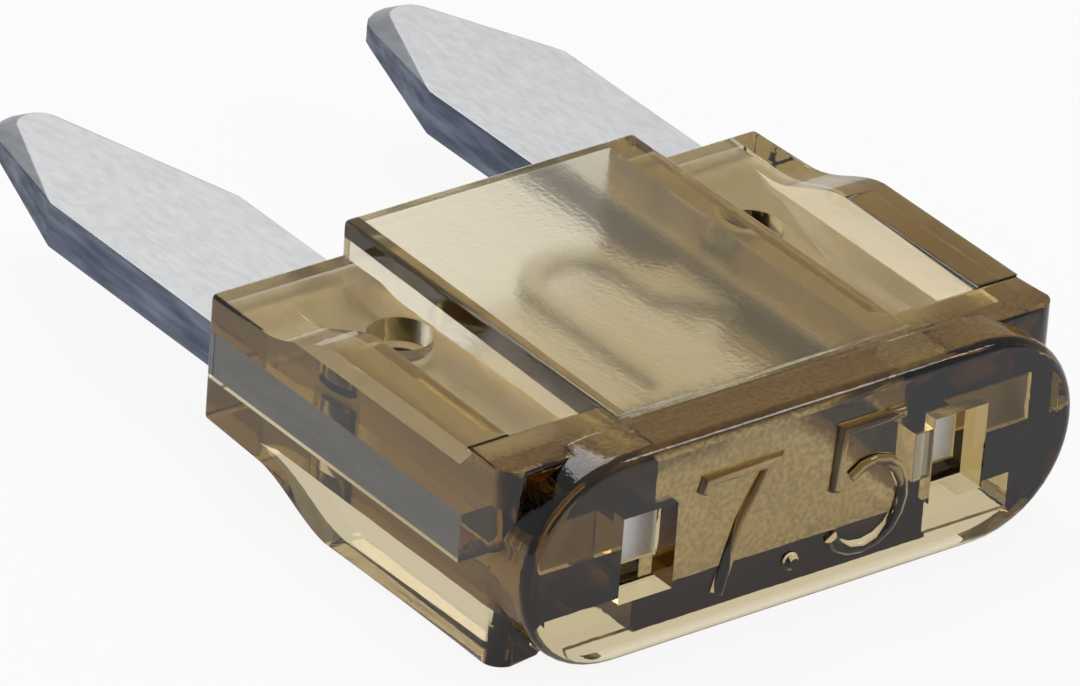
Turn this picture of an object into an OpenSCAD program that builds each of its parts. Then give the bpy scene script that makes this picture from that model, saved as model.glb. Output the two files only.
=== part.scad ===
// Small plug-in blade fuse, lying flat on its wide side, in millimetres.
// X runs across both blades, the head's end face looks to -Y, the blades point to +Y, Z is up.
// The middle of the length is at y = 0 and the underside of the head's cap is at z = 0.

/* [Overall] */
// Width across the housing
housing_w = 10.9; // [10.5:0.1:11.3]
// Length from the head's end face to the blade tips
overall_l = 16.4; // [15.8:0.1:16.8]
// Length of the plastic housing
housing_l = 8.55; // [7.8:0.05:9.2]
// Thickness over the two raised panels
panel_t = 3.56; // [3.5:0.01:3.7]

/* [Head] */
// Thickness of the round-ended cap
cap_t = 3.72; // [3.6:0.01:3.9]
// Depth of the cap in front of the head block
cap_d = 0.64; // [0.4:0.02:0.9]
// Radius on the cap's front edge
cap_edge_r = 0.22; // [0.05:0.01:0.3]
// Thickness of the head block
block_t = 3.52; // [3.2:0.02:3.6]
// Distance from the end face to the head block's back edge
block_back = 1.7; // [1.2:0.05:2.2]
// Twice the depth of the head block's underside below the middle plane
under_t = 3.28; // [3:0.02:3.5]
// Distance from the end face to the back edge of the head block's underside
under_back = 1.1; // [0.8:0.05:1.7]
// Distance from the end face to the foot of the channel's slope on the underside
under_foot_y = 1.75; // [1.4:0.05:2.3]
// Radius of the head block's upright front corners
block_corner_r = 0.36; // [0.1:0.02:0.6]

/* [Panel] */
// Width of the raised panel
panel_w = 5.8; // [5.2:0.05:6]
// Distance from the end face to the top of the panel's front slope
panel_slope_y = 1.3; // [0.9:0.02:1.6]
// Thickness at the foot of the panel's front slope
slope_t = 3.28; // [3.2:0.02:3.5]

/* [Wings and side fins] */
// Thickness of the wings at the blade end
wing_t = 2.3; // [2:0.05:2.6]
// Thickness between the channel floors
channel_t = 2.1; // [1.9:0.02:2.2]
// Distance from the end face to the foot of the channel's front slope
channel_foot_y = 2.3; // [1.8:0.05:2.6]
// Distance from the end face to the floor's back ramp
channel_back_y = 7; // [6.5:0.05:7.4]
// Thickness across the side fins where they stand full height
fin_t = 3.5; // [3.2:0.02:3.56]
// Width of one side fin
fin_w = 0.84; // [0.7:0.02:1.1]
// Distance from the end face to where the fin starts to fall
flare_front_y = 5; // [4.6:0.1:5.4]
// Distance from the end face to where the fin meets the wing
flare_back_y = 7.15; // [6.7:0.1:7.5]

/* [Stake pits] */
// Distance from a blade's outer edge to a pit's centre
pit_in = 1.7; // [1.4:0.02:1.9]
// Distance from the end face to a pit's centre
pit_y = 6.1; // [5.6:0.05:6.5]
// Radius of a pit
pit_r = 0.54; // [0.4:0.01:0.6]
// Height of a pit's floor above the middle plane
pit_floor = 0.62; // [0.55:0.01:0.8]
// Radius of the plastic peg in a blade's hole
peg_r = 0.45; // [0.3:0.01:0.5]
// How far a peg's end stands from the middle plane
peg_end = 0.2; // [0.05:0.01:0.3]

/* [Hollow inside] */
// How far the hollow reaches over a blade's inner edge
cavity_over = 0.05; // [0:0.01:0.1]
// Height of the hollow at its front wall
cavity_t = 2.36; // [2.1:0.02:2.6]
// Height of the hollow at its open end
cavity_back_t = 2.66; // [2.4:0.02:2.8]
// Distance from the end face to the hollow's front wall
cavity_y = 1.45; // [1.2:0.05:1.8]
// Clearance round the blades
slot_gap = 0.03; // [0.01:0.01:0.06]
// Plastic left beside a blade's outer edge
side_wall = 0.25; // [0.15:0.01:0.4]

/* [Test windows] */
// Distance from a blade's inner edge to a window's centre
window_in = 0.68; // [0.5:0.02:0.9]
// Width of a window
window_w = 1.06; // [0.8:0.02:1.2]
// Height of a window
window_h = 1.55; // [1.2:0.05:1.7]

/* [Blades] */
// Width of a blade
blade_w = 2.8; // [2.7:0.05:2.9]
// Thickness of a blade
blade_t = 0.81; // [0.75:0.01:0.85]
// Distance from the end face to where the tips start to narrow
taper_y = 13.35; // [12.8:0.1:13.8]
// The same on the long inner taper of the first blade
long_taper_y = 12; // [11.5:0.1:13]
// Distance from the first blade's outer edge to its nose's middle
nose_in1 = 1.38; // [1.2:0.02:1.6]
// Distance from the second blade's outer edge to its nose's middle
nose_in2 = 1.48; // [1.2:0.02:1.6]
// Radius of a tip's nose
nose_r = 0.68; // [0.4:0.02:0.8]
// Thickness left at the edge of a tip
tip_t = 0.32; // [0.2:0.02:0.5]
// Distance from the end face to the blades' shoulders inside the head
shoulder_y = 1.9; // [1.6:0.05:2.2]
// Distance from the end face to the test tabs' ends
tab_y = 0.54; // [0.5:0.02:0.8]
// Width of a test tab
tab_w = 1; // [0.8:0.05:1.4]

/* [Fuse link] */
// Thickness of the link
link_t = 0.26; // [0.15:0.01:0.35]
// Width of the link
link_w = 0.4; // [0.3:0.02:0.6]
// Distance from the middle to the link's straight leg
link_x = -0.15; // [-0.4:0.05:0.2]
// Distance from the end face to the link's lower run
link_y = 3.1; // [2.6:0.1:3.6]
// Distance from the end face to the arch's centre
arch_y = 6.75; // [6.2:0.05:7]
// Middle radius of the arch
arch_r = 0.85; // [0.6:0.05:0.95]
// Distance from the end face to where the arch joins the second blade
neck_y = 5.3; // [4.8:0.1:5.8]

/* [Hidden] */
$fn = 64;
hw = housing_w / 2;
fin_in = hw - fin_w;
blade_out = hw - side_wall;
blade_in = blade_out - blade_w;
pit_x = blade_out - pit_in;
window_x = blade_in + window_in;
slope_n = 12;
cut = 0.5;
c_plastic = [0.47, 0.40, 0.24];
c_metal = [0.72, 0.73, 0.75];

// A box given by its six faces
module slab(x0, x1, y0, y1, z0, z1) {
    translate([x0, y0, z0]) cube([x1 - x0, y1 - y0, z1 - z0]);
}

// A list in the opposite order
function back_to_front(v) = [for (i = [len(v) - 1 : -1 : 0]) v[i]];

// A side profile run across X. Each list holds [y, half thickness] pairs, and low is the same as pts if not given
module profile(pts, x0, x1, low = undef) {
    under = is_undef(low) ? pts : low;
    translate([x0, 0, 0])
        rotate([90, 0, 90])
            linear_extrude(x1 - x0)
                polygon(concat(pts, [for (p = back_to_front(under)) [p[0], -p[1]]]));
}

// Both sides of the part
module both() {
    children();
    mirror([1, 0, 0]) children();
}

// Smooth fall of a fin's edge from full height to the wing, as [y, half thickness] pairs
function flare() = [for (i = [0 : slope_n])
    let (t = i / slope_n)
    [flare_front_y + (flare_back_y - flare_front_y) * t,
     fin_t / 2 + (wing_t - fin_t) / 2 * (1 - cos(180 * t)) / 2]];

// Outline seen from above: the head block's upright front corners are round
module outline(h) {
    r = block_corner_r;
    y0 = cap_d;
    slab(-hw, hw, y0 + r, housing_l, -h, h);
    slab(-hw + r, hw - r, y0, y0 + r, -h, h);
    both() translate([hw - r, y0 + r, -h]) cylinder(r = r, h = 2 * h);
}

// Wings with their channels, and the head block in front of them
module wings() {
    back = [[channel_back_y, channel_t / 2], [channel_back_y + 0.45, wing_t / 2], [housing_l, wing_t / 2]];
    profile(
        concat([[cap_d, block_t / 2], [block_back, block_t / 2], [channel_foot_y, channel_t / 2]], back),
        -hw, hw,
        low = concat([[cap_d, under_t / 2], [under_back, under_t / 2], [under_foot_y, channel_t / 2]], back));
}

// A side fin with its falling edge
module fin() {
    profile(concat([[cap_d, fin_t / 2]], flare(), [[housing_l, wing_t / 2]]), fin_in, hw);
}

// The raised panel with its front slope
module panel() {
    profile([
        [cap_d, slope_t / 2], [panel_slope_y, panel_t / 2],
        [housing_l, panel_t / 2]], -panel_w / 2, panel_w / 2);
}

// A bar with round ends, lying across X and run along Y
module stadium(r, y0, y1) {
    c = hw - cap_t / 2;
    both() translate([c, y0, 0]) rotate([-90, 0, 0]) cylinder(r = r, h = y1 - y0);
    slab(-c, c, y0, y1, -r, r);
}

// The cap: a round-ended bar whose front edge is rounded over
module cap() {
    c = hw - cap_t / 2;
    e = cap_edge_r;
    r = cap_t / 2;
    stadium(r, e, cap_d + 0.3);
    stadium(r - e, 0, cap_d);
    both() translate([c, e, 0]) rotate([-90, 0, 0])
        rotate_extrude() translate([r - e, 0]) circle(r = e, $fn = 32);
    for (s = [-1, 1])
        translate([-c, e, s * (r - e)]) rotate([0, 90, 0]) cylinder(r = e, h = 2 * c, $fn = 32);
}

// The space for the strip: the slots for the blades, the hollow round the link, and the windows
module inside() {
    g = slot_gap;
    t = blade_t / 2 + g;
    far = housing_l + cut;
    c = blade_in + cavity_over;
    profile([[cavity_y, cavity_t / 2], [far, cavity_back_t / 2]], -c, c);
    both() {
        slab(blade_in - g, blade_out + g, shoulder_y - g, far, -t, t);
        slab(blade_in - g, blade_in + tab_w + g, tab_y - g, shoulder_y, -t, t);
        slab(window_x - window_w / 2, window_x + window_w / 2, -cut, tab_y, -window_h / 2, window_h / 2);
    }
}

// The pits left by staking, from outside down to their floors
module pits() {
    both() for (s = [0, 1]) mirror([0, 0, s])
        translate([pit_x, pit_y, pit_floor]) cylinder(r = pit_r, h = panel_t);
}

// The plastic pegs that fill a blade's hole from both sides
module pegs() {
    both() for (s = [0, 1]) mirror([0, 0, s])
        translate([pit_x, pit_y, peg_end]) cylinder(r = peg_r, h = pit_floor - peg_end);
}

module housing() {
    color(c_plastic) placed() union() {
        difference() {
            union() {
                intersection() {
                    union() {
                        wings();
                        both() fin();
                        panel();
                    }
                    outline(panel_t);
                }
                cap();
            }
            inside();
            pits();
        }
        pegs();
    }
}

// One blade's tip, with pressed bevels along its narrowing edges. in_y is where its inner edge starts to narrow
// and cx is the nose's distance from the middle
module tip(in_y, cx) {
    xi = blade_in;
    cy = overall_l - nose_r;
    y0 = min(in_y, taper_y);
    arc = [for (a = [170 : -20 : 10]) [cos(a), sin(a)]];
    hull() {
        linear_extrude(tip_t, center = true)
            polygon(concat([[xi, y0 - 0.2], [xi, in_y]],
                [for (p = arc) [cx + nose_r * p[0], cy + nose_r * p[1]]],
                [[blade_out, taper_y], [blade_out, y0 - 0.2]]));
        linear_extrude(blade_t, center = true)
            polygon(concat([[xi, y0 - 0.2], [xi, in_y - 0.04]],
                [for (p = arc) [cx + (nose_r - 0.3) * p[0], cy - 0.12 + (nose_r - 0.3) * p[1]]],
                [[blade_out, taper_y - 0.04], [blade_out, y0 - 0.2]]));
    }
}

// One blade on the +X side: tip, straight part, shoulder and test tab, with its stake hole
module blade(in_y, nose_in) {
    xi = blade_in;
    t = blade_t / 2;
    difference() {
        union() {
            slab(xi, blade_out, shoulder_y, min(in_y, taper_y) - 0.1, -t, t);
            slab(xi, xi + tab_w, tab_y, shoulder_y + 0.1, -t, t);
            tip(in_y, blade_out - nose_in);
        }
        translate([pit_x, pit_y, -1]) cylinder(r = peg_r, h = 2);
    }
}

// The thin link: a run from the first blade, a straight leg, an arch and a broad neck on the second blade
module link() {
    xi = blade_in;
    w = link_w / 2;
    r = arch_r + w;
    ax = link_x + arch_r;
    linear_extrude(link_t, center = true) {
        translate([-xi - 0.1, link_y - w]) square([link_x + w + xi + 0.1, link_w]);
        translate([link_x - w, link_y - w]) square([link_w, arch_y - link_y + w]);
        difference() {
            translate([ax, arch_y]) circle(r = r);
            translate([ax, arch_y]) circle(r = arch_r - w);
            translate([ax - r, arch_y - r]) square([2 * r, r]);
        }
        polygon([[ax + arch_r - w, arch_y + 0.01], [ax + arch_r - w, neck_y + 0.5],
            [xi - 0.25, neck_y - 0.5], [xi + 0.1, neck_y - 0.5], [xi + 0.1, arch_y - 0.3],
            [ax + arch_r + w + 0.2, arch_y - 0.3], [ax + arch_r + w, arch_y + 0.01]]);
    }
}

module fuse_strip() {
    color(c_metal) placed() union() {
        blade(taper_y, nose_in2);
        mirror([1, 0, 0]) blade(long_taper_y, nose_in1);
        link();
    }
}

// From the end face and the middle plane to the part's own origin
module placed() {
    translate([0, -overall_l / 2, cap_t / 2]) children();
}

housing();
fuse_strip();
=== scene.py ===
import math
import bpy
import bmesh
from mathutils import Matrix, Vector


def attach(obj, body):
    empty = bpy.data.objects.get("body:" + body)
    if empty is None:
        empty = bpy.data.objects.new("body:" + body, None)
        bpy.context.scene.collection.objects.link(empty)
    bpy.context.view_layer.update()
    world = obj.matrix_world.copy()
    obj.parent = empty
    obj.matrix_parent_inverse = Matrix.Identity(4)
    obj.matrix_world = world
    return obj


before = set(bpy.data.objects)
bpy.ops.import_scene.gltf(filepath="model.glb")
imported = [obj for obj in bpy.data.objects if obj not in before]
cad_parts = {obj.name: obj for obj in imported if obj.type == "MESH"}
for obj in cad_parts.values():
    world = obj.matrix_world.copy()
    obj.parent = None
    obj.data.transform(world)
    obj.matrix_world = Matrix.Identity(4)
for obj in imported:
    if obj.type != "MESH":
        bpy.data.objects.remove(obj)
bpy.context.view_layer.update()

MM = 0.001

# Points are given in mm: X from the middle, Y from the head's end face, Z from the middle plane
HALF_L = 8.2
MID_Z = 1.86


def along(y):
    """A place along the part in the row's frame."""
    return (y - HALF_L) * MM


def level(z):
    """A height in the row's frame."""
    return (MID_Z + z) * MM


def row(x, y, z):
    """A point in the row's frame."""
    return Vector((x, y - HALF_L, z + MID_Z)) * MM


# Short calls for nodes

def new_mat(name):
    m = bpy.data.materials.new(name)
    m.use_nodes = True
    m.node_tree.nodes.clear()
    return m, m.node_tree


def add(nt, kind, **settings):
    n = nt.nodes.new(kind)
    for key, value in settings.items():
        setattr(n, key, value)
    return n


def feed(nt, socket, value):
    """Links an output to the socket, or gives the socket a plain value."""
    if isinstance(value, bpy.types.NodeSocket):
        nt.links.new(value, socket)
    else:
        socket.default_value = value


def calc(nt, kind, *values, **settings):
    n = add(nt, "ShaderNodeMath", operation=kind, **settings)
    for socket, value in zip(n.inputs, values):
        feed(nt, socket, value)
    return n.outputs[0]


def spread(nt, value, start=0.0, end=1.0, low=0.0, high=1.0):
    """Maps start to end onto low to high, and clamps."""
    n = add(nt, "ShaderNodeMapRange")
    n.inputs["From Min"].default_value = start
    n.inputs["From Max"].default_value = end
    n.inputs["To Min"].default_value = low
    n.inputs["To Max"].default_value = high
    nt.links.new(value, n.inputs["Value"])
    return n.outputs[0]


def noise(nt, place, scale, detail=2.0):
    n = add(nt, "ShaderNodeTexNoise")
    n.inputs["Scale"].default_value = scale
    n.inputs["Detail"].default_value = detail
    nt.links.new(place, n.inputs["Vector"])
    return n.outputs["Fac"]


def drawn_out(nt, place, share):
    """The place with Y scaled down, so that a texture on it is drawn out along the part."""
    n = add(nt, "ShaderNodeMapping")
    n.inputs["Scale"].default_value = (1, share, 1)
    nt.links.new(place, n.inputs["Vector"])
    return n.outputs[0]


def axes_of(nt, vector):
    n = add(nt, "ShaderNodeSeparateXYZ")
    nt.links.new(vector, n.inputs[0])
    return n.outputs


def bump(nt, height, strength, distance, normal=None):
    n = add(nt, "ShaderNodeBump")
    n.inputs["Distance"].default_value = distance
    feed(nt, n.inputs["Strength"], strength)
    nt.links.new(height, n.inputs["Height"])
    if normal is not None:
        nt.links.new(normal, n.inputs["Normal"])
    return n.outputs["Normal"]


def two_tone(nt, value, tones, start, end):
    """A ramp from the first tone at start to the second at end."""
    n = add(nt, "ShaderNodeValToRGB")
    for element, position, tone in zip(n.color_ramp.elements, (start, end), tones):
        element.position = position
        element.color = (*tone, 1)
    nt.links.new(value, n.inputs[0])
    return n.outputs[0]


def blend(nt, share, a, b):
    """A mix of two colours. Sockets 6 and 7 are its colour inputs, and output 2 its colour."""
    n = add(nt, "ShaderNodeMix", data_type="RGBA")
    nt.links.new(share, n.inputs[0])
    feed(nt, n.inputs[6], a)
    feed(nt, n.inputs[7], b)
    return n.outputs[2]


def blend_shaders(nt, share, a, b):
    n = add(nt, "ShaderNodeMixShader")
    for socket, value in zip(n.inputs, (share, a, b)):
        nt.links.new(value, socket)
    return n.outputs[0]


# Materials. Colours are linear
WHITE = (1, 1, 1, 1)
PLASTIC_IOR = 1.57
PLASTIC_TINT = (0.65, 0.515, 0.13, 1)
PLASTIC_DENSITY = 1050
PLASTIC_SHADOW = (0.70, 0.64, 0.50, 1)
FACE_TONES = ((0.69, 0.695, 0.705), (0.76, 0.765, 0.77))
EDGE_TONES = ((0.10, 0.12, 0.17), (0.24, 0.27, 0.34))

# The hollow round the link as (axis, middle, half size), and the reach of the pits round their axes
HOLLOW = (("X", 0.0, 2.6), ("Z", MID_Z, 1.45), ("Y", 5.3 - HALF_L, 4.1))
PIT_X, PIT_Y, PIT_REACH = 3.5, 6.1, 0.60


def in_hollow(nt, xyz):
    """1 on the walls of the hollow and 0 elsewhere."""
    inside = None
    for axis, middle, half in HOLLOW:
        off = calc(nt, "ABSOLUTE", calc(nt, "SUBTRACT", xyz[axis], middle * MM))
        near = calc(nt, "LESS_THAN", off, half * MM)
        inside = near if inside is None else calc(nt, "MULTIPLY", inside, near)
    return inside


def in_pit(nt, xyz):
    """1 in the staked pits and 0 elsewhere."""
    flat = add(nt, "ShaderNodeCombineXYZ")
    nt.links.new(calc(nt, "ABSOLUTE", xyz["X"]), flat.inputs["X"])
    nt.links.new(xyz["Y"], flat.inputs["Y"])
    far = add(nt, "ShaderNodeVectorMath", operation="DISTANCE")
    far.inputs[1].default_value = (PIT_X * MM, along(PIT_Y), 0)
    nt.links.new(flat.outputs[0], far.inputs[0])
    return calc(nt, "LESS_THAN", far.outputs["Value"], PIT_REACH * MM)


def plastic_mat():
    m, nt = new_mat("clear_brown_plastic")
    out = add(nt, "ShaderNodeOutputMaterial")
    place = add(nt, "ShaderNodeTexCoord").outputs["Object"]
    xyz = axes_of(nt, place)
    # where the tool left the plastic matt: in the hollow and in the staked pits
    matt = calc(nt, "MAXIMUM", in_hollow(nt, xyz), in_pit(nt, xyz))
    # the slope from the cap up to the raised panel is grained too
    slope = calc(nt, "MULTIPLY", spread(nt, xyz["Y"], start=along(1.45), end=along(1.15)),
                 spread(nt, xyz["Z"], start=level(1.35), end=level(1.55)))
    grained = calc(nt, "MAXIMUM", slope, matt)
    # broad flow marks everywhere, with the fine grain on top of them
    marks = noise(nt, drawn_out(nt, place, share=0.22), scale=1900, detail=3)
    flow = bump(nt, marks, strength=0.16, distance=0.04 * MM)
    grain = noise(nt, place, scale=11000)
    normal = bump(nt, grain, strength=spread(nt, grained, low=0.05, high=0.35), distance=0.01 * MM, normal=flow)
    # darker flecks where the grain lies in the head
    head = spread(nt, xyz["Y"], start=along(1.9), end=along(1.6))
    fleck = spread(nt, grain, start=0.38, end=0.62, low=0.55)
    tint = blend(nt, calc(nt, "MULTIPLY", head, grained), WHITE, fleck)

    bsdf = add(nt, "ShaderNodeBsdfPrincipled")
    bsdf.inputs["Transmission Weight"].default_value = 1.0
    bsdf.inputs["IOR"].default_value = PLASTIC_IOR
    nt.links.new(tint, bsdf.inputs["Base Color"])
    nt.links.new(spread(nt, matt, low=0.03, high=0.20), bsdf.inputs["Roughness"])
    nt.links.new(normal, bsdf.inputs["Normal"])
    # light that makes shadows goes straight through, tinted
    clear = add(nt, "ShaderNodeBsdfTransparent")
    clear.inputs["Color"].default_value = PLASTIC_SHADOW
    path = add(nt, "ShaderNodeLightPath")
    surface = blend_shaders(nt, path.outputs["Is Shadow Ray"], bsdf.outputs[0], clear.outputs[0])
    nt.links.new(surface, out.inputs["Surface"])
    volume = add(nt, "ShaderNodeVolumeAbsorption")
    volume.inputs["Color"].default_value = PLASTIC_TINT
    volume.inputs["Density"].default_value = PLASTIC_DENSITY
    nt.links.new(volume.outputs[0], out.inputs["Volume"])
    return m


def metal_mat():
    """Pale rolled faces, and darker sheared edges with lines along them. Forward-facing sheared ends get the pale tone
    as a painted highlight, and the edges inside the housing get painted shade.
    """
    m, nt = new_mat("stamped_zinc")
    out = add(nt, "ShaderNodeOutputMaterial")
    place = add(nt, "ShaderNodeTexCoord").outputs["Object"]
    facing = axes_of(nt, add(nt, "ShaderNodeNewGeometry").outputs["True Normal"])
    # the rolled faces are what looks up or down; what looks forward gets their pale tone too, a painted highlight on
    # the sheared ends lit from the front
    most = calc(nt, "MAXIMUM", calc(nt, "ABSOLUTE", facing["Z"]), calc(nt, "MULTIPLY", facing["Y"], -1.0))
    face_or_painted_lit_end = spread(nt, most, start=0.66, end=0.97)
    rolled = noise(nt, drawn_out(nt, place, share=0.35), scale=9000, detail=4)
    face = two_tone(nt, rolled, FACE_TONES, start=0.3, end=0.7)
    lines = noise(nt, drawn_out(nt, place, share=0.12), scale=5200)
    edge = two_tone(nt, lines, EDGE_TONES, start=0.35, end=0.7)
    # painted shade: the edges are darker still inside the housing, where the plastic keeps the light off them
    shaded_edge = add(nt, "ShaderNodeVectorMath", operation="SCALE")
    nt.links.new(edge, shaded_edge.inputs[0])
    inside = spread(nt, axes_of(nt, place)["Y"], start=along(8.45), end=along(8.65), low=0.30)
    nt.links.new(inside, shaded_edge.inputs["Scale"])

    bsdf = add(nt, "ShaderNodeBsdfPrincipled")
    bsdf.inputs["Metallic"].default_value = 1.0
    # the base colour carries the painted highlight on the forward ends and the painted shade on the edges inside the
    # housing
    nt.links.new(blend(nt, face_or_painted_lit_end, shaded_edge.outputs[0], face), bsdf.inputs["Base Color"])
    nt.links.new(spread(nt, rolled, low=0.42, high=0.6), bsdf.inputs["Roughness"])
    nt.links.new(bump(nt, rolled, strength=0.18, distance=0.02 * MM), bsdf.inputs["Normal"])
    nt.links.new(bsdf.outputs[0], out.inputs["Surface"])
    return m


def floor_mat():
    """A white floor that keeps the shadow: mostly its own light to the camera, and partly so through the plastic."""
    to_camera, to_plastic = 0.9, 0.42
    m, nt = new_mat("pale_floor")
    out = add(nt, "ShaderNodeOutputMaterial")
    matt = add(nt, "ShaderNodeBsdfDiffuse")
    matt.inputs["Color"].default_value = (0.9, 0.9, 0.9, 1)
    glow = add(nt, "ShaderNodeEmission")
    glow.inputs["Color"].default_value = WHITE
    glow.inputs["Strength"].default_value = 1.0
    path = add(nt, "ShaderNodeLightPath").outputs
    seen_through = calc(nt, "MULTIPLY", calc(nt, "ADD", path["Is Glossy Ray"], path["Is Transmission Ray"]), to_plastic)
    share = calc(nt, "MULTIPLY_ADD", path["Is Camera Ray"], to_camera, seen_through, use_clamp=True)
    nt.links.new(blend_shaders(nt, share, matt.outputs[0], glow.outputs[0]), out.inputs["Surface"])
    return m


PLASTIC = plastic_mat()
METAL = metal_mat()


def dress(obj, mat):
    obj.data.materials.clear()
    obj.data.materials.append(mat)


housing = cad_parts["housing"]
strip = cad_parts["fuse_strip"]
dress(housing, PLASTIC)
dress(strip, METAL)


# Meshes that only cut or join the housing, and are never drawn themselves

def hidden_tool(name, bm):
    bmesh.ops.recalc_face_normals(bm, faces=bm.faces)
    me = bpy.data.meshes.new(name)
    bm.to_mesh(me)
    bm.free()
    o = bpy.data.objects.new(name, me)
    bpy.context.scene.collection.objects.link(o)
    dress(o, PLASTIC)
    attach(o, "root")
    o.hide_render = True
    return o


def bridge(bm, rings):
    """Faces between neighbouring rings of vertices, and over the first and the last."""
    for r0, r1 in zip(rings, rings[1:]):
        for k in range(len(r0)):
            j = (k + 1) % len(r0)
            bm.faces.new((r0[k], r0[j], r1[j], r1[k]))
    bm.faces.new(rings[0][::-1])
    bm.faces.new(rings[-1])


def bar(bm, profile, x0, x1):
    """A profile of (y, z) points, run across X."""
    near, far = ([bm.verts.new(row(x, y, z)) for y, z in profile] for x in (x0, x1))
    bm.faces.new(near)
    bm.faces.new(far[::-1])
    for k in range(len(near)):
        j = (k + 1) % len(near)
        bm.faces.new((near[k], far[k], far[j], near[j]))


def relief_tool():
    """What is cut from the underside behind the cap. Between the panel's walls and the fins the block ends in a
    plain step, not in a slope."""
    step_y, foot_y, low_z, foot_z = 1.10, 1.80, -1.72, -1.05
    panel_wall, fin_wall = 2.9, 4.61
    profile = ((step_y, low_z), (foot_y, low_z), (foot_y, foot_z), (step_y, foot_z))
    bm = bmesh.new()
    for side in (-1, 1):
        bar(bm, profile, side * panel_wall, side * fin_wall)
    return hidden_tool("relief_tool", bm)


def rim_tool():
    """The round-over along the cap's lower edge, which the solid has only at the cap's ends and along the top."""
    r, half, low, depth, steps = 0.22, 3.60, -1.86, 0.40, 11
    turns = [math.pi / 2 * k / steps for k in range(steps + 1)]
    arc = [(r - r * math.sin(t), low + r - r * math.cos(t)) for t in turns]
    bm = bmesh.new()
    bar(bm, arc + [(depth, low + r), (depth, low)], -half, half)
    return hidden_tool("rim_tool", bm)


# A stroke's cross-section as (share of half the width, share of the height): a low round bar on a short root
SECTION = ((-1, -0.5), (-1, 0.05), (-0.86, 0.50), (-0.5, 0.87), (0, 1),
           (0.5, 0.87), (0.86, 0.50), (1, 0.05), (1, -0.5))
STROKE_W, STROKE_H = 0.24, 0.12
MITRE_LEAST = 0.5  # a corner's mitre is at most twice as wide as the stroke

# The rating's strokes on the cap's end face as (x, z) points
SEVEN = ((-2.10, 0.82), (-2.04, 1.02), (-0.74, 1.02), (-1.02, 0.58), (-1.28, 0.10), (-1.46, -0.42), (-1.66, -1.12))
FIVE = ((1.84, 1.16), (0.66, 1.16), (0.57, 0.08))
BOWL = ((0.86, 0.24), (1.08, 0.38), (1.34, 0.42), (1.60, 0.34), (1.80, 0.16), (1.92, -0.10), (1.95, -0.38),
        (1.88, -0.66), (1.72, -0.90), (1.48, -1.06), (1.20, -1.12), (0.92, -1.08), (0.70, -0.96), (0.58, -0.78))
POINT_AT = (-0.20, -0.98)
POINT_RINGS = ((0.15, 0.06), (0.15, -0.05), (0.09, -STROKE_H))  # as (radius, y)
POINT_SIDES = 20


def stroke(bm, pts):
    """A raised round bar that follows pts on the end face, with mitred corners."""
    last = len(pts) - 1
    rings = []
    for i, p in enumerate(pts):
        here = Vector(p)
        before = Vector(pts[max(i - 1, 0)])
        after = Vector(pts[min(i + 1, last)])
        way_in = (here - before).normalized() if i else (after - here).normalized()
        way_out = (after - here).normalized() if i < last else way_in
        mean = (way_in + way_out).normalized()
        side = Vector((-mean.y, mean.x)) / max(MITRE_LEAST, mean.dot(way_in))
        ring = []
        for share, top in SECTION:
            q = here + side * (share * STROKE_W / 2)
            ring.append(bm.verts.new(row(q.x, -STROKE_H * top, q.y)))
        rings.append(ring)
    bridge(bm, rings)


def rating_tool():
    bm = bmesh.new()
    for pts in (SEVEN, FIVE, BOWL):
        stroke(bm, pts)
    x, z = POINT_AT
    turns = [k * math.pi / (POINT_SIDES / 2) for k in range(POINT_SIDES)]
    bridge(bm, [[bm.verts.new(row(x + rad * math.cos(t), y, z + rad * math.sin(t))) for t in turns]
                for rad, y in POINT_RINGS])
    return hidden_tool("rating_tool", bm)


# Rounded edges and even normals

SHARP = math.radians(40)  # edges that turn less are left smooth
STRIP_SHARP = math.radians(28)  # the strip's edges that turn less aren't rounded
FLAT = math.radians(0.6)  # faces that turn less are joined
WELD_REACH, TOOL_WELD_REACH = 1e-6, 3e-6
ROUND_STEPS = 3
HOUSING_ROUND, STRIP_ROUND = 0.09, 0.03


def geometry_group(name):
    """An empty node group for a modifier, with its way in and its way out."""
    g = bpy.data.node_groups.new(name, "GeometryNodeTree")
    for way in ("INPUT", "OUTPUT"):
        g.interface.new_socket("Geometry", in_out=way, socket_type="NodeSocketGeometry")
    return g, add(g, "NodeGroupInput").outputs[0], add(g, "NodeGroupOutput").inputs[0]


def smooth_group():
    """Smooth faces, parted by the edges that still turn sharply after the rounding."""
    g, way_in, way_out = geometry_group("shade_smooth")
    turn = add(g, "GeometryNodeInputMeshEdgeAngle").outputs["Unsigned Angle"]
    faces = add(g, "GeometryNodeSetShadeSmooth")
    edges = add(g, "GeometryNodeSetShadeSmooth", domain="EDGE")
    g.links.new(way_in, faces.inputs[0])
    g.links.new(faces.outputs[0], edges.inputs[0])
    g.links.new(calc(g, "LESS_THAN", turn, SHARP), edges.inputs["Shade Smooth"])
    g.links.new(edges.outputs[0], way_out)
    return g


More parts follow.
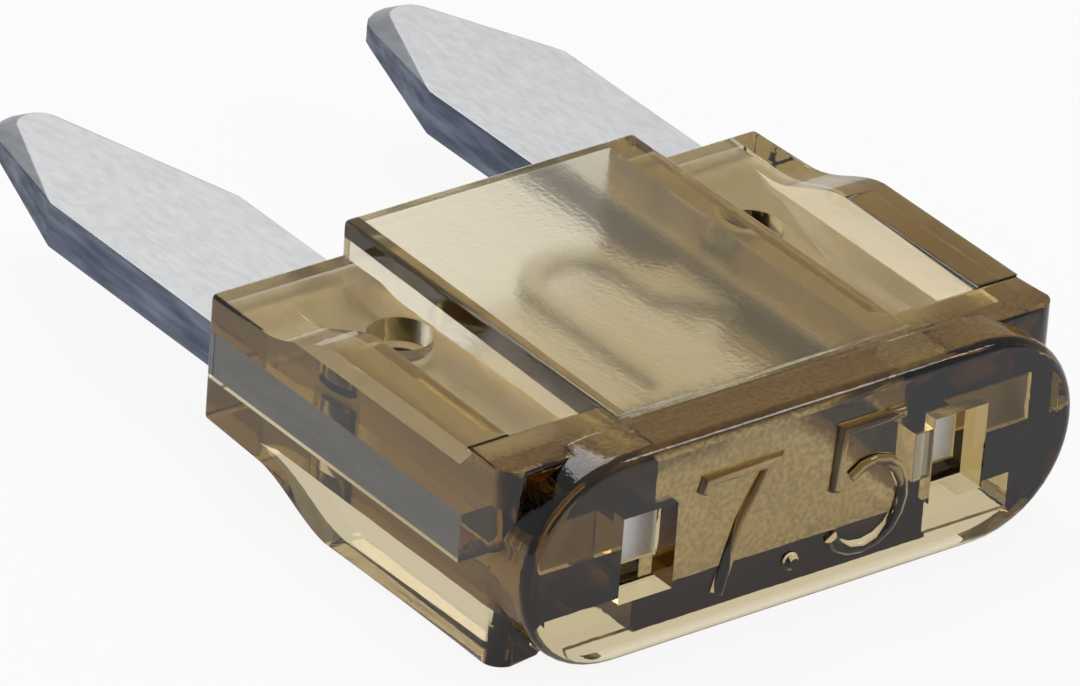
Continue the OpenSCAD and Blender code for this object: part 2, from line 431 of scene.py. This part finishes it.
def mark_group():
    """Gives the long outer edges of the housing the weight that its bevel follows, and no others."""
    g, way_in, way_out = geometry_group("mark_outer_edges")
    xyz = axes_of(g, add(g, "GeometryNodeInputPosition").outputs[0])
    ends = add(g, "GeometryNodeInputMeshEdgeVertices").outputs
    span = add(g, "ShaderNodeVectorMath", operation="DISTANCE")
    g.links.new(ends["Position 1"], span.inputs[0])
    g.links.new(ends["Position 2"], span.inputs[1])
    turn = add(g, "GeometryNodeInputMeshEdgeAngle").outputs["Signed Angle"]

    def more(a, b):
        return calc(g, "GREATER_THAN", a, b)

    def less(a, b):
        return calc(g, "LESS_THAN", a, b)

    def both(a, b):
        return calc(g, "MULTIPLY", a, b)

    # Limits for the middle of an edge, in mm in the row's frame. Past tall_z from the middle plane it is at the top or
    # bottom, past side_x at a side, and past all three of the wing's limits at a wing's back end
    tall_z, side_x = 1.5, 5.3
    wing_x, wing_y, wing_z = 2.7, 0.2, 1.0
    # in front of foot_y and within foot_x, low edges belong to the cap's foot and the step behind it
    foot_x, foot_y = 4.5, -6.3
    least_length = 0.4
    out = calc(g, "ABSOLUTE", xyz["X"])
    up = calc(g, "SUBTRACT", xyz["Z"], MID_Z * MM)
    off = calc(g, "ABSOLUTE", up)
    tall = more(off, tall_z * MM)
    side = more(out, side_x * MM)
    rear = both(more(xyz["Y"], wing_y * MM), both(more(off, wing_z * MM), more(out, wing_x * MM)))
    outer = calc(g, "MAXIMUM", tall, calc(g, "MAXIMUM", side, rear))
    foot = both(less(up, 0.0), both(less(xyz["Y"], foot_y * MM), less(out, foot_x * MM)))
    convex = more(turn, SHARP)
    long = more(span.outputs["Value"], least_length * MM)
    weight = both(both(convex, long), both(outer, calc(g, "SUBTRACT", 1.0, foot)))

    store = add(g, "GeometryNodeStoreNamedAttribute", data_type="FLOAT", domain="EDGE")
    store.inputs["Name"].default_value = "bevel_weight_edge"
    g.links.new(way_in, store.inputs["Geometry"])
    g.links.new(weight, store.inputs["Value"])
    g.links.new(store.outputs[0], way_out)
    return g


SMOOTH = smooth_group()


def modify(obj, name, kind, **settings):
    m = obj.modifiers.new(name, kind)
    for key, value in settings.items():
        setattr(m, key, value)


def soften(obj, width, tools=()):
    """Joins or cuts the tools, rounds the edges and evens the normals."""
    modify(obj, "weld", "WELD", merge_threshold=WELD_REACH)
    modify(obj, "flat", "DECIMATE", decimate_type="DISSOLVE", angle_limit=FLAT)
    for kind, tool in tools:
        modify(obj, tool.name, "BOOLEAN", operation=kind, solver="EXACT", object=tool)
        modify(obj, tool.name + "_weld", "WELD", merge_threshold=TOOL_WELD_REACH)
    if tools:
        modify(obj, "marks", "NODES", node_group=mark_group())
        modify(obj, "edges", "BEVEL", width=width, segments=ROUND_STEPS, limit_method="WEIGHT",
               use_clamp_overlap=False)
    else:
        modify(obj, "edges", "BEVEL", width=width, segments=ROUND_STEPS, limit_method="ANGLE",
               angle_limit=STRIP_SHARP, use_clamp_overlap=True)
    modify(obj, "smooth", "NODES", node_group=SMOOTH)
    modify(obj, "normals", "WEIGHTED_NORMAL", mode="FACE_AREA", weight=100, keep_sharp=True)


soften(housing, HOUSING_ROUND * MM,
       (("UNION", rim_tool()), ("UNION", rating_tool()), ("DIFFERENCE", relief_tool())))
soften(strip, STRIP_ROUND * MM)

# Stage, light and camera
bpy.ops.mesh.primitive_plane_add(size=2.0, location=(0, 0, 0))
floor = bpy.context.object
floor.name = "floor"
dress(floor, floor_mat())

SKY = (0.38, 0.38, 0.38, 1)
world = bpy.data.worlds.new("studio")
bpy.context.scene.world = world
world.use_nodes = True
sky = world.node_tree.nodes["Background"]
sky.inputs["Color"].default_value = SKY
sky.inputs["Strength"].default_value = 1.0

LAMPS_LOOK_AT = (0, 0, 0.002)


def softbox(name, at, size, power):
    light = bpy.data.lights.new(name, "AREA")
    light.shape = "RECTANGLE"
    light.size = size
    light.size_y = size
    light.energy = power
    o = bpy.data.objects.new(name, light)
    bpy.context.scene.collection.objects.link(o)
    o.location = at
    o.rotation_euler = (Vector(LAMPS_LOOK_AT) - Vector(at)).to_track_quat("-Z", "Y").to_euler()


softbox("key", at=(0.05, 0.15, 0.30), size=0.20, power=0.40)
# two small lamps that only draw bright lines on the rounded edges
softbox("edge_left", at=(-0.20, 0.27, 0.22), size=0.07, power=0.10)
softbox("edge_front", at=(0.22, -0.20, 0.28), size=0.07, power=0.10)

# The camera's axes and place in mm, fitted to the straight edges of the photograph
CAMERA_RIGHT = Vector((0.80126872, -0.59477771, 0.06486842))
CAMERA_UP = Vector((0.24851910, 0.42948754, 0.86820430))
CAMERA_BACK = Vector((-0.54424875, -0.67954391, 0.49194855))
CAMERA_AT = Vector((-112.66873, -141.95647, 103.17749))

cam_data = bpy.data.cameras.new("camera")
cam_data.sensor_width = 36
cam_data.sensor_fit = "HORIZONTAL"
cam_data.lens = 429.43
cam_data.clip_start = 0.01
cam_data.clip_end = 10
cam = bpy.data.objects.new("camera", cam_data)
bpy.context.scene.collection.objects.link(cam)
turned = Matrix((CAMERA_RIGHT, CAMERA_UP, CAMERA_BACK)).transposed()
cam.matrix_world = Matrix.Translation(CAMERA_AT * MM) @ turned.to_4x4()

BOUNCES = 24  # enough for light that crosses all the clear walls
scene = bpy.context.scene
scene.camera = cam
scene.view_settings.view_transform = "Standard"
scene.cycles.max_bounces = BOUNCES
scene.cycles.transmission_bounces = BOUNCES
